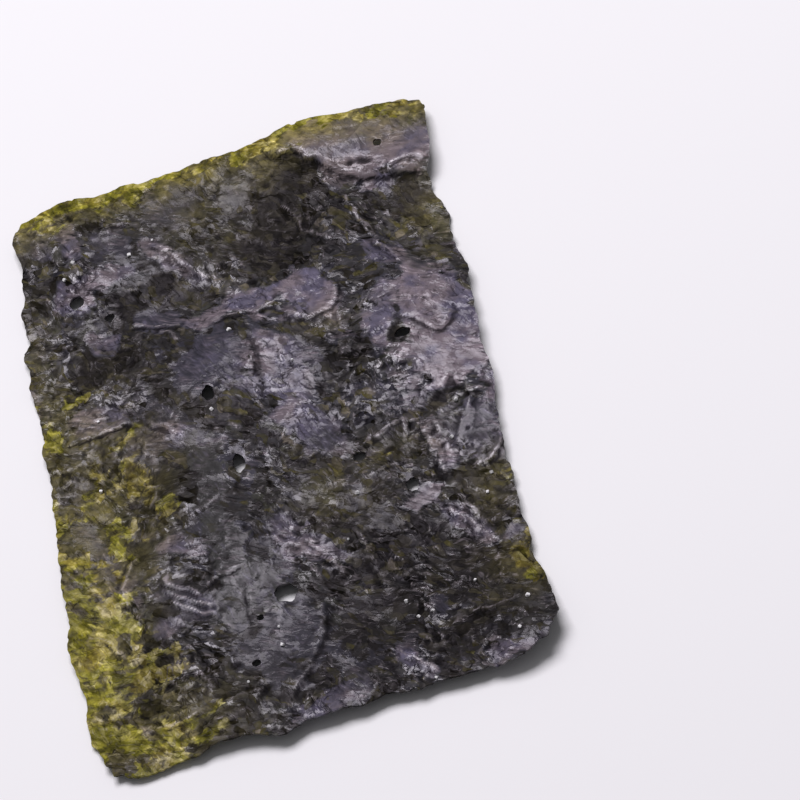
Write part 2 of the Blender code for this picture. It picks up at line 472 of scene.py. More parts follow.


# -------------------- regions

# Where painted light comes through the whole leaf a little, and where the leaf is thin enough for yellow
# windows, partly its own colour and partly painted light coming through: centre x, y, half widths, turn,
# strength.
GLOW_PLACES = (
    (-24.0, -22.0, 7.0, 28.0, 0, 1.0),
    (-25.0, 5.0, 5.0, 12.0, 0, 0.8),
    (-18.5, -4.0, 6.0, 13.0, 0, 0.85),
    (-19.0, -38.0, 9.0, 7.0, 0, 0.8),
    (22.5, -18.0, 3.5, 5.0, 0, 0.45),
    (23.0, -30.0, 3.5, 5.0, 0, 0.55),
    (22.0, 24.0, 4.0, 6.0, 20, 0.5),
    (12.0, -9.0, 7.0, 3.0, 0, 0.35),
    (6.0, -12.0, 5.0, 5.0, 0, 0.35),
    (-3.0, 33.0, 6.0, 8.0, 0, 0.35),
    (22.0, 30.0, 3.0, 3.0, 0, 0.3),
    (9.0, 12.0, 4.0, 2.0, 0, 0.5),
    (-14.0, -8.0, 4.0, 8.0, 0, 0.3),
    (16.0, 39.0, 9.0, 3.0, -18, 0.2),
    (-24.5, 22.0, 3.0, 10.0, 0, 0.4),
    (-15.0, 2.0, 6.0, 5.0, 0, 0.5),
)
THIN_PLACES = (
    (-25.5, 2.0, 3.0, 16.0, 0, 0.6),
    (-24.0, -20.0, 5.0, 16.0, 0, 1.1),
    (-23.0, -34.0, 7.0, 11.0, 0, 1.1),
    (-18.5, -20.0, 2.2, 9.0, 8, 0.9),
    (-20.0, -40.0, 9.0, 5.0, 0, 1.0),
    (-12.0, -39.0, 6.0, 4.0, 0, 0.55),
    (-17.5, -3.0, 5.0, 12.0, 0, 0.65),
    (24.0, -17.5, 1.6, 3.0, 0, 0.5),
    (8.5, 12.0, 3.5, 1.6, 0, 0.35),
    (12.0, -9.0, 6.0, 2.0, 0, 0.3),
    (24.5, -28.0, 2.4, 5.0, 0, 0.7),
    (22.0, 25.0, 3.0, 5.0, 20, 0.35),
    (-18.0, 26.0, 4.0, 3.0, 0, 0.35),
    (3.0, 18.0, 3.0, 1.2, 0, 0.5),
)
# Darker, more olive places. The one in front of the crease at (5, 29) is partly painted shade on the slope
# turned from the light.
OLIVE_PLACES = (
    (14.0, -27.0, 12.0, 13.0, 0, 1.0),
    (5.1, 28.9, 4.0, 7.5, 8, 1.1),
    (12.0, -38.0, 14.0, 5.0, 0, 0.6),
    (-17.0, -8.0, 5.0, 14.0, 0, 0.5),
    (-15.0, 18.0, 4.0, 4.0, 0, 0.5),
)

# Where the leaf is crumpled into small sharp curls.
CRISP_PLACES = (
    (14.0, -27.0, 12.0, 11.0, 0, 1.0),
    (18.0, -37.0, 9.0, 6.0, 0, 0.9),
    (5.0, -37.0, 8.0, 6.0, 0, 0.8),
    (13.0, -9.0, 8.0, 6.0, 0, 0.8),
    (-14.5, -1.0, 5.0, 9.0, 0, 1.0),
    (-14.0, -31.0, 5.0, 6.0, 0, 0.8),
    (-20.0, -40.0, 7.0, 4.0, 0, 0.5),
    (0.5, -18.0, 6.0, 4.0, -40, 0.7),
    (10.5, 27.0, 5.0, 6.0, 0, 0.5),
    (-14.5, 16.0, 6.0, 5.0, 0, 0.5),
    (-17.0, 29.0, 6.0, 6.0, 0, 0.5),
    (6.0, 5.0, 6.0, 9.0, 0, 0.45),
)


# How much of the milky film, glossy and with painted sheen, lies on the blades: centre x, y, half widths,
# turn, change. Less film makes a place darker; in front of the crease at (5, 29) that is partly painted
# shade on the slope turned from the light.
SHEEN_FILM_ZONES = (
    (19.0, 6.0, 6.5, 12.0, 0, 0.45),
    (18.0, 36.0, 8.0, 3.2, -18, 0.5),
    (7.5, 17.5, 3.5, 5.0, 20, 0.45),
    (2.0, 8.0, 4.0, 10.0, 10, 0.3),
    (14.0, -28.0, 13.0, 13.0, 0, -0.32),
    (5.1, 28.9, 4.5, 7.5, 8, -1.2),
    (-8.0, -39.0, 10.0, 5.0, 0, -0.3),
    (15.0, 26.0, 7.0, 5.0, 0, -0.35),
    (-14.0, 17.0, 6.0, 5.0, 0, -0.35),
    (-6.0, -10.0, 3.0, 26.0, -4, -0.1),
    (-21.0, -22.0, 5.0, 22.0, 0, 0.15),
)


def summed(x, y, places):
    """The sum of these oval spots at each place."""
    total = np.zeros_like(x)
    for px, py, half_x, half_y, turn, change in places:
        total += change * near_spot(x, y, (px, py), (half_x, half_y), turn)
    return total


# What a broad blade looks like: wrinkled, film (its glossy film with painted sheen), tone, warm, thin,
# olive.
LOOK_FIELDS = ("wrinkled", "film", "tone", "warm", "thin", "olive")
LOOKS = {
    "slate": (0.02, 0.66, 0.0, -0.2, 0.0, 0.0),
    "ink": (0.06, 0.62, -0.5, 0.1, 0.0, 0.0),
    "sage": (0.06, 0.62, -0.2, 0.5, 0.0, 0.0),
    "moss": (0.35, 0.6, -0.6, 0.9, 0.12, 0.2),
    "weave": (0.35, 0.56, -1.2, 0.3, 0.0, 0.0),
    "pink": (0.15, 0.95, 0.28, -0.6, 0.0, 0.0),
    "pearl": (0.15, 0.95, 0.75, -0.6, 0.0, 0.0),
    "lilac": (0.34, 0.85, 0.0, -0.6, 0.0, 0.0),
    "tan": (0.4, 0.95, 0.8, 0.6, 0.16, 0.0),
    "dull": (0.6, 0.3, -0.3, 0.3, 0.0, 0.4),
    "dark": (0.25, 0.0, -1.3, 0.8, 0.0, 1.0),
    "gold": (0.45, 0.3, 0.5, 0.5, 0.62, 0.0),
    "amber": (0.5, 0.1, -0.9, 0.8, 0.75, 0.4),
}

# Broad blades that show as pieces of their own:
# look, centre x, y, half length, half width, angle, raised, the way its raised edge faces.
BROAD_BLADES = (
    # back left
    ("weave", -2.5, 34.0, 8.5, 5.6, 75, 0.05, -60),
    ("ink", -6.5, 37.0, 4.0, 3.0, 80, 0.04, -90),
    ("sage", 1.5, 36.6, 2.6, 1.8, 60, 0.04, -90),
    ("lilac", -18.0, 35.6, 3.6, 1.2, 97, 0.08, -20),
    ("slate", -13.5, 33.5, 2.6, 2.4, 60, 0.06, 90),
    ("lilac", -14.5, 29.0, 3.0, 1.9, 20, 0.06, -90),
    ("lilac", -7.0, 28.6, 5.0, 1.3, 128, 0.09, -140),
    ("tan", -18.6, 27.2, 2.8, 1.9, 120, 0.08, -60),
    ("dark", -12.4, 23.6, 2.2, 1.2, 130, 0.0, 0),
    ("dark", -8.8, 25.2, 1.8, 1.5, 30, 0.0, 0),
    ("lilac", -16.0, 19.0, 2.4, 1.9, 120, 0.07, -60),
    ("slate", -9.4, 20.2, 3.6, 2.0, 165, 0.08, -100),
    ("tan", 1.4, 19.0, 3.4, 1.9, 170, 0.08, -90),
    ("lilac", -4.5, 18.0, 3.0, 1.5, 5, 0.06, -90),
    ("dark", -17.6, 15.6, 2.8, 2.4, 0, 0.0, 0),
    # back right
    ("pearl", 15.0, 37.4, 7.6, 3.5, 152, 0.05, -110),
    ("pink", 21.4, 35.2, 3.2, 3.6, 90, 0.05, -90),
    # The dark blades just in front of the crease are partly the leaf's dark colour, partly painted shade
    # on the slope turned from the light.
    ("dark", 9.0, 35.6, 3.0, 2.2, 140, 0.0, 0),
    ("dark", 4.9, 28.6, 6.2, 3.0, 80, 0.0, 0),
    ("dull", 11.6, 26.6, 3.2, 2.0, 70, 0.05, -60),
    ("dark", 21.0, 27.6, 3.6, 2.0, 110, 0.0, 0),
    ("moss", 23.2, 22.4, 3.4, 1.4, 100, 0.0, 0),
    ("lilac", 16.6, 19.4, 3.8, 1.5, 125, 0.09, -150),
    ("pearl", 7.3, 18.0, 4.8, 2.7, 105, 0.10, -70),
    ("dull", 12.4, 17.4, 3.0, 1.8, 115, 0.04, -90),
    # middle right
    ("pink", 19.4, 10.6, 4.6, 2.6, 110, 0.12, -100),
    ("lilac", 16.0, 12.4, 2.6, 1.6, 100, 0.06, -120),
    ("dark", 16.5, 5.5, 1.5, 0.9, 160, 0.0, 0),
    ("pink", 20.8, 0.8, 4.4, 3.5, 70, 0.12, -90),
    ("dark", 19.0, -4.6, 1.8, 1.0, 30, 0.0, 0),
    ("slate", 22.3, -9.6, 4.3, 2.5, 95, 0.10, -50),
    ("lilac", 17.6, -10.4, 4.0, 1.1, 100, 0.08, -150),
    ("lilac", 2.6, 7.6, 6.8, 2.7, 95, 0.09, 180),
    ("slate", 5.4, -4.8, 2.2, 1.8, 150, 0.07, -60),
    ("tan", 3.8, 0.4, 1.2, 0.8, 120, 0.06, -90),
    ("dull", 10.0, 5.0, 4.0, 3.0, 150, 0.05, -90),
    ("moss", 3.6, -12.0, 2.8, 2.0, 90, 0.0, 0),
    ("tan", 10.4, -8.4, 1.2, 0.7, 10, 0.06, -90),
    ("pink", 14.6, -16.8, 2.2, 1.1, 25, 0.07, -90),
    # middle left
    ("slate", -5.2, 11.0, 5.6, 4.4, 70, 0.06, 200),
    ("lilac", -18.4, 8.0, 3.2, 2.2, 10, 0.06, -90),
    ("tan", -11.0, 3.4, 3.2, 1.1, 135, 0.08, -140),
    ("gold", -20.6, 12.2, 2.0, 1.2, 20, 0.0, 0),
    ("gold", -23.6, 7.0, 2.2, 1.0, 95, 0.0, 0),
    ("amber", -15.0, -2.6, 2.2, 1.3, 110, 0.0, 0),
    ("amber", -12.4, -8.0, 1.5, 1.6, 60, 0.0, 0),
    ("gold", -17.4, -0.4, 1.4, 0.9, 60, 0.0, 0),
    ("gold", -21.0, -3.8, 2.4, 1.0, 100, 0.0, 0),
    ("moss", -18.6, -6.6, 3.4, 2.0, 80, 0.05, -60),
    ("moss", -23.0, 15.0, 4.5, 1.6, 90, 0.0, 0),
    ("sage", -7.4, -6.0, 8.0, 2.1, 92, 0.08, 0),
    ("sage", -6.8, -16.4, 6.5, 2.3, 98, 0.07, 0),
    ("lilac", -11.6, -14.0, 3.4, 1.2, 140, 0.08, 60),
    ("gold", -18.0, -10.4, 3.4, 1.2, 100, 0.0, 0),
    ("slate", -21.6, -8.6, 3.0, 1.6, 120, 0.07, -150),
    # front left
    ("sage", -5.2, -23.0, 5.0, 3.6, 60, 0.06, 160),
    ("ink", -3.0, -31.6, 7.6, 4.6, 70, 0.10, -30),
    ("dull", -7.4, -36.4, 4.0, 1.9, 120, 0.05, 180),
    ("slate", -12.0, -21.6, 4.2, 2.0, 128, 0.06, -130),
    ("lilac", 2.0, -19.4, 4.8, 1.8, 140, 0.08, -120),
    ("gold", -23.0, -17.6, 3.2, 1.4, 110, 0.05, -60),
    ("gold", -18.4, -21.4, 3.6, 1.6, 100, 0.05, -60),
    ("lilac", -14.8, -24.6, 1.8, 1.5, 30, 0.06, -90),
    ("gold", -22.6, -30.0, 4.4, 1.6, 88, 0.06, 0),
    ("amber", -16.4, -29.4, 3.2, 2.6, 0, 0.0, 0),
    ("dull", -14.8, -35.2, 3.0, 2.0, 160, 0.06, 90),
    ("gold", -16.6, -40.0, 3.4, 2.0, 10, 0.05, 90),
    ("dull", -21.8, -40.2, 2.4, 1.3, 110, 0.05, 90),
    # front right
    ("lilac", 18.8, -22.0, 5.0, 1.4, 125, 0.10, -140),
    ("pink", 23.2, -25.4, 1.5, 0.9, 20, 0.06, -90),
    ("slate", 14.0, -31.4, 1.8, 0.8, 95, 0.05, -90),
    ("lilac", 10.0, -38.4, 3.6, 1.0, 130, 0.08, -140),
    ("dull", 7.4, -41.2, 2.0, 1.3, 90, 0.05, 180),
    ("lilac", 20.6, -41.4, 3.2, 1.0, 170, 0.06, 90),
    ("amber", 24.2, -29.6, 3.0, 1.2, 100, 0.0, 0),
)


def lay_broad_blades(skin):
    """Presses the broad blades on, in the order of their table."""
    for number, (look, px, py, half_long, half_wide, angle, raised, facing) in enumerate(BROAD_BLADES):
        skin.lay(
            (px, py),
            (half_long, half_wide),
            math.radians(angle),
            SEED + 300 + number,
            raised,
            math.radians(facing),
            ragged=0.5,
            **dict(zip(LOOK_FIELDS, LOOKS[look])),
        )


# Single folds: kind, height and the points it runs through. A ledge stands high to the left of its run.
FOLDS = (
    ("ledge", 0.32, (6.5, 39.2), (9.2, 38.8), (11.6, 36.3), (14.5, 33.8), (18.5, 32.2), (23.6, 30.9)),
    ("rib", 0.24, (13.3, 31.6), (14.0, 28.4), (15.0, 25.0), (16.6, 20.5), (18.4, 16.8)),
    ("rib", 0.16, (5.8, 33.2), (7.4, 31.2), (8.0, 28.0), (9.6, 26.0), (11.0, 24.8)),
    ("rib", 0.14, (19.0, 32.6), (21.2, 33.2), (23.4, 32.2)),
    ("slit", 0.15, (-14.8, 36.4), (-12.2, 35.8), (-10.0, 35.3)),
    ("rib", 0.15, (-9.2, 32.2), (-6.6, 29.2), (-5.2, 26.6), (-3.4, 24.4)),
    ("ledge", 0.18, (-13.0, 20.8), (-9.4, 19.2), (-7.4, 18.2)),
    ("ledge", 0.14, (-4.6, 17.2), (-1.0, 17.0), (2.0, 16.6), (4.0, 17.2)),
    ("rib", 0.14, (-9.8, 18.2), (-8.6, 17.4), (-8.0, 15.6)),
    ("slit", 0.18, (-22.2, 5.2), (-18.5, 5.3), (-14.4, 5.9)),
    ("rib", 0.14, (-13.0, 5.8), (-11.2, 4.0), (-9.0, 1.6)),
    ("ledge", 0.16, (4.4, 15.0), (6.4, 13.4), (9.6, 14.4), (10.4, 18.2)),
    ("ledge", 0.16, (16.8, 8.6), (19.0, 6.6), (20.8, 5.2), (22.6, 8.0)),
    ("ledge", 0.16, (17.2, -2.4), (19.0, -3.2), (20.6, -1.6), (21.8, -4.2), (24.2, -5.0)),
    ("ledge", 0.14, (20.4, -14.6), (23.0, -14.2), (24.6, -11.5)),
    ("rib", 0.12, (16.2, -7.2), (16.8, -10.5), (17.4, -14.5)),
    ("rib", 0.12, (17.8, -6.8), (18.2, -10.0), (18.8, -13.0)),
    ("rib", 0.10, (10.0, -7.2), (13.0, -5.6), (16.6, -6.3)),
    ("rib", 0.10, (9.4, -12.2), (12.0, -11.2), (14.6, -12.4)),
    ("slit", 0.08, (-10.0, -21.4), (-8.0, -20.4), (-5.4, -20.2)),
    ("slit", 0.06, (-5.7, -22.5), (-5.8, -25.5), (-5.6, -27.8)),
    ("rib", 0.24, (-14.4, -17.6), (-12.0, -20.0), (-9.0, -22.0)),
    ("rib", 0.24, (-14.4, -19.0), (-12.2, -21.4), (-9.0, -23.4)),
    ("rib", 0.24, (-13.8, -20.9), (-11.8, -23.0), (-9.0, -24.8)),
    ("rib", 0.10, (-14.2, 3.6), (-13.4, 1.6), (-14.2, -0.6), (-13.2, -2.2)),
    ("rib", 0.10, (-12.8, 5.0), (-11.2, 4.0), (-10.2, 2.2)),
    ("rib", 0.10, (-14.6, -3.2), (-13.2, -4.8), (-14.4, -7.4)),
    ("rib", 0.10, (-16.4, -12.8), (-18.4, -15.2), (-18.8, -18.4)),
    ("rib", 0.10, (-20.4, -17.8), (-18.2, -19.6), (-17.2, -22.4)),
    ("rib", 0.10, (-23.4, -22.0), (-21.0, -23.4), (-19.6, -26.4)),
    ("rib", 0.10, (-19.4, -36.4), (-16.0, -37.6), (-12.6, -37.0)),
    ("edge", 0.12, (-0.4, 3.0), (-0.1, 8.0), (-0.6, 14.8)),
    ("edge", 0.2, (-3.2, -39.2), (-0.4, -35.0), (1.6, -30.6), (2.2, -26.6)),
    ("rib", 0.12, (-3.0, -16.2), (0.0, -18.0), (2.4, -20.4), (4.4, -22.4)),
    ("rib", 0.12, (-1.0, -16.0), (1.6, -18.2), (3.8, -20.6)),
    ("rib", 0.16, (16.4, -18.4), (18.4, -21.0), (20.2, -24.0), (21.6, -26.2)),
    ("rib", 0.13, (17.8, -18.0), (19.4, -20.6), (20.6, -22.8)),
    ("rib", 0.13, (8.0, -36.0), (10.4, -38.8), (12.4, -41.2)),
    ("rib", 0.10, (20.0, -30.0), (21.4, -31.2), (22.6, -31.6)),
    ("rib", 0.10, (17.0, -34.2), (19.6, -34.8), (22.4, -34.2)),
)


# Small pits: centre x, y, half widths, turn, depth.
PITS = (
    (16.5, 34.5, 0.9, 0.45, -20, 0.3),
    (15.0, 34.7, 0.5, 0.35, 0, 0.25),
    (-17.5, 40.0, 0.9, 0.7, 20, 0.25),
    (1.5, 22.3, 0.8, 0.6, 0, 0.25),
    (-0.1, 7.8, 0.35, 0.9, 0, 0.25),
    (-11.6, 20.0, 0.8, 0.3, -20, 0.2),
    (21.0, -3.3, 0.8, 0.6, 0, 0.25),
    (13.6, 2.2, 0.5, 0.4, 0, 0.2),
    (-8.0, -32.5, 0.6, 0.5, 0, 0.2),
    (-5.5, -37.0, 0.7, 0.4, 40, 0.25),
    (-12.0, -29.5, 0.9, 0.6, 60, 0.2),
    (5.0, 36.0, 0.6, 0.4, 0, 0.2),
    (12.0, -8.8, 0.7, 0.4, 30, 0.2),
    (8.0, -26.0, 0.7, 0.4, 120, 0.2),
    (15.5, -33.0, 0.6, 0.4, 20, 0.2),
)


def smooth_run(points, steps=6):
    """A curve through the points, as short straight pieces."""
    points = np.array([points[0], *points, points[-1]], float)
    run = []
    for a, b, c, d in zip(points, points[1:], points[2:], points[3:]):
        square, cube = 2 * a - 5 * b + 4 * c - d, 3 * b - a - 3 * c + d
        for t in np.linspace(0.0, 1.0, steps, endpoint=False):
            run.append(0.5 * (2 * b + (c - a) * t + square * t**2 + cube * t**3))
    run.append(points[-1])
    return np.array(run)


def off_run(x, y, run):
    """How far each place lies to the left of the run, and the share of the run behind it."""
    nearest = np.full(x.shape, np.inf)
    off, share = np.zeros_like(x), np.zeros_like(x)
    for number, (start, end) in enumerate(zip(run, run[1:])):
        dx, dy = end - start
        px, py = x - start[0], y - start[1]
        t = np.clip((px * dx + py * dy) / (dx * dx + dy * dy), 0.0, 1.0)
        gap = np.hypot(px - t * dx, py - t * dy)
        closer = gap < nearest
        nearest = np.where(closer, gap, nearest)
        off = np.where(closer, gap * np.sign(py * dx - px * dy), off)
        share = np.where(closer, (number + t) / (len(run) - 1), share)
    return off, share


def fold_shape(kind, off):
    """Height across a fold 1 high, and its line: 1 on the lip, painted as highlight, -1 along the foot,
    painted as shade.
    """
    if kind == "ledge":
        return one_sided(off, 1.1, 0.16), stripe(off, 0.12, 0.26) - stripe(off, -0.42, 0.3)
    if kind == "edge":
        return one_sided(off, 3.0, 0.3), -0.9 * stripe(off, -0.5, 0.4)
    if kind == "slit":
        line = 0.5 * stripe(off, 0.5, 0.25) - 0.75 * stripe(off, 0.0, 0.2)
        return 0.6 * stripe(off, 0.45, 0.35) - stripe(off, 0.0, 0.22), line
    return one_sided(off, 0.3, 0.22), stripe(off, 0.05, 0.22) - 0.8 * stripe(off, -0.45, 0.24)


def single_folds(x, y):
    """The height of the single folds, and their lines."""
    wander_x = x + 0.35 * swell(x / 1.6, y / 1.6, SEED + 33)
    wander_y = y + 0.35 * swell(x / 1.6, y / 1.6, SEED + 34)
    total, lines = np.zeros_like(x), np.zeros_like(x)
    for kind, height, *points in FOLDS:
        off, share = off_run(wander_x, wander_y, smooth_run(points))
        profile, line = fold_shape(kind, off)
        taper = smooth_step(share / 0.15 + 0.1) * smooth_step((1.0 - share) / 0.15 + 0.1)
        total += height * profile * taper
        lines += line * taper
    return total, lines


def painted(x, y, places):
    """The strongest of these oval spots at each place."""
    total = np.zeros_like(x)
    for px, py, half_x, half_y, turn, strength in places:
        total = np.maximum(total, strength * near_spot(x, y, (px, py), (half_x, half_y), turn))
    return total


def paint_regions(skin):
    """Thin places, places with painted light coming through, crisp and olive places, mottled."""
    x, y = skin.x, skin.y
    mottle = fractal(x, y, 5.0, SEED + 60)
    thin = painted(x, y, THIN_PLACES)
    back_band = np.exp(-np.maximum(41.6 - y, 0.0) / 1.9)
    thin = np.maximum(thin, 1.4 * back_band * (0.75 + 0.5 * swell(x / 4.0, y / 9.0, SEED + 61)))
    skin.thin = np.clip(thin * (0.55 + 0.9 * skin.pick) * (1.0 + 0.5 * mottle) - 0.06, 0.0, 1.2)
    wide_band = 1.5 * np.exp(-np.maximum(41.3 - y, 0.0) / 2.6)
    glow = np.maximum(painted(x, y, GLOW_PLACES), wide_band)
    skin.glow = np.clip(glow * (0.8 + 0.5 * mottle), 0.0, 1.0)
    skin.crisp = np.clip(painted(x, y, CRISP_PLACES) * (1.0 + 0.6 * mottle), 0.0, 1.0)
    skin.olive = np.clip(painted(x, y, OLIVE_PLACES) * (1.0 + 0.5 * mottle), 0.0, 1.0)


# -------------------- the mesh


def hole_cells(x, y, holes):
    """Cells that lie in a hole, after its rim's points have been drawn on to its outline."""
    gone = np.zeros((ROWS, COLUMNS), bool)
    for number, (cx, cy, hx, hy) in enumerate(holes):
        angle = np.arctan2((y - cy) / hy, (x - cx) / hx)
        wobble = 1.0 + 0.22 * swell(np.cos(angle) * 1.6, np.sin(angle) * 1.6, SEED + 70 + number)
        radius = np.hypot((x - cx) / hx, (y - cy) / hy) / wobble
        middle = (radius[:-1, :-1] + radius[1:, :-1] + radius[:-1, 1:] + radius[1:, 1:]) / 4
        here = middle < 1.0
        gone |= here
        touched = np.zeros(x.shape, bool)
        for dy in (0, 1):
            for dx in (0, 1):
                touched[dy : dy + ROWS, dx : dx + COLUMNS] |= here
        whole = np.zeros(x.shape, bool)
        whole[1:-1, 1:-1] = here[:-1, :-1] & here[1:, :-1] & here[:-1, 1:] & here[1:, 1:]
        rim = touched & ~whole
        scale = 1.0 / np.maximum(radius[rim], 1e-6)
        x[rim] = cx + (x[rim] - cx) * scale
        y[rim] = cy + (y[rim] - cy) * scale
    return gone


def hole_ovals(loops):
    """The oval that each closed line fills: centre x, y and half widths."""
    ovals = []
    for loop in loops:
        low, high = loop.min(axis=0), loop.max(axis=0)
        centre, half = (low + high) / 2, (high - low) / 2
        ovals.append((centre[0], centre[1], half[0], half[1]))
    return ovals


def leaf_mesh(name, x, y, top, bottom, gone):
    """A closed mesh of the leaf's two faces and the walls of its rim and holes, the upper faces first.

    Also returns which of the grid's points it uses, above and below, and how many upper faces it has.
    """
    count = x.size
    number = np.arange(count).reshape(x.shape)
    kept = ~gone
    near_left, near_right = number[:-1, :-1][kept], number[:-1, 1:][kept]
    far_right, far_left = number[1:, 1:][kept], number[1:, :-1][kept]
    upper = np.stack([near_left, near_right, far_right, far_left], axis=1)
    lower = upper[:, ::-1] + count
    edges = np.concatenate([upper[:, [k, (k + 1) % 4]] for k in range(4)])
    keys = edges[:, 0] * count + edges[:, 1]
    back_keys = edges[:, 1] * count + edges[:, 0]
    open_edges = edges[~np.isin(keys, back_keys)]
    a, b = open_edges[:, 0], open_edges[:, 1]
    walls = np.stack([b, a, a + count, b + count], axis=1)
    faces = np.concatenate([upper, lower, walls])
    points = np.concatenate([np.stack([x, y, z], axis=-1).reshape(-1, 3) for z in (top, bottom)])
    used, renumbered = np.unique(faces, return_inverse=True)
    faces = renumbered.reshape(faces.shape)
    mesh = bpy.data.meshes.new(name)
    mesh.from_pydata((points[used] * MM).tolist(), [], faces.tolist())
    mesh.shade_smooth()
    mesh.set_sharp_from_angle(angle=math.radians(SHARP_RIM))
    return mesh, used, len(upper)


def store(mesh, name, values, used):
    """Keeps a field of the grid on the mesh, the same above and below."""
    attribute = mesh.attributes.new(name, "FLOAT", "POINT")
    both = np.concatenate([values.ravel(), values.ravel()])[used]
    attribute.data.foreach_set("value", both.astype(np.float32))


# The map, in millimetres: how far it is across, where its corner lies, and the width of a wall's strip.
MAP_SIZE = 110.0
MAP_CORNER = (-27.0, -45.0)
MAP_STRIP = 0.25


def lay_flat_map(mesh, faces_up):
    """A map of the skin seen from above, with the underside beside it and the walls as narrow strips."""
    layer = mesh.uv_layers.new(name="OFBake")
    loops = len(mesh.loops)
    corner = np.empty(loops, np.int32)
    mesh.loops.foreach_get("vertex_index", corner)
    points = np.empty(len(mesh.vertices) * 3, np.float32)
    mesh.vertices.foreach_get("co", points)
    points = points.reshape(-1, 3)[corner] / MM
    face_of_loop = np.repeat(np.arange(len(mesh.polygons)), 4)
    under = (face_of_loop >= faces_up) & (face_of_loop < 2 * faces_up)
    wall = face_of_loop >= 2 * faces_up
    u = (points[:, 0] - MAP_CORNER[0]) / MAP_SIZE
    v = (points[:, 1] - MAP_CORNER[1]) / MAP_SIZE
    u[under] += 0.5

    # Each wall's lower edge is drawn a little way out from its upper edge.
    quads = np.nonzero(wall)[0].reshape(-1, 4)
    b, a, low_a, low_b = (quads[:, k] for k in range(4))
    along = points[b, :2] - points[a, :2]
    along /= np.maximum(np.linalg.norm(along, axis=1, keepdims=True), 1e-6)
    out = np.stack([along[:, 1], -along[:, 0]], axis=1) * MAP_STRIP / MAP_SIZE
    for low, high in ((low_a, a), (low_b, b)):
        u[low] = u[high] + out[:, 0]
        v[low] = v[high] + out[:, 1]
    layer.data.foreach_set("uv", np.stack([u, v], axis=1).ravel().astype(np.float32))


def make_leaf():
    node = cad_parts["nori_sheet"]
    points, faces, normals = cad_mesh(node)
    loops = rim_loops(points, faces, normals)
    x, y = plan_grid(loops[0])
    gone = hole_cells(x, y, hole_ovals(loops[1:]) + list(PINHOLES))
    middle = middle_surface(points, faces, x, y)

    rng = np.random.default_rng(SEED)
    skin = Skin(x, y)
    low, high = (x.min(), y.min()), (x.max(), y.max())
    lay_blades(skin, *LARGE_BLADES, rng, low, high)
    lay_blades(skin, *SMALL_BLADES, rng, low, high)
    skin.film = np.clip(skin.film + summed(x, y, SHEEN_FILM_ZONES), 0.0, 1.0)
    paint_regions(skin)
    lay_broad_blades(skin)
    rise = relief(skin, rng, low, high)

    surface = middle + rise
    bottom = np.clip(surface - THICKNESS / 2, 0.0, cad_high[2] / MM - THICKNESS)
    top = bottom + THICKNESS
    # How far a place lies below its surroundings: the material paints shade into the hollows and highlight
    # on the crowns.
    skin.cavity = np.clip((blurred(rise, 1.6) - rise) / 0.08, -1.0, 1.0)
    mesh, used, faces_up = leaf_mesh("nori_skin", x, y, top, bottom, gone)
    for name in STORED:
        store(mesh, name, getattr(skin, name), used)
    lay_flat_map(mesh, faces_up)
    leaf = bpy.data.objects.new("nori_leaf", mesh)
    bpy.context.scene.collection.objects.link(leaf)
    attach(leaf, "root")
    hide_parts("nori_sheet")
    return leaf, x, y, top


# -------------------- materials


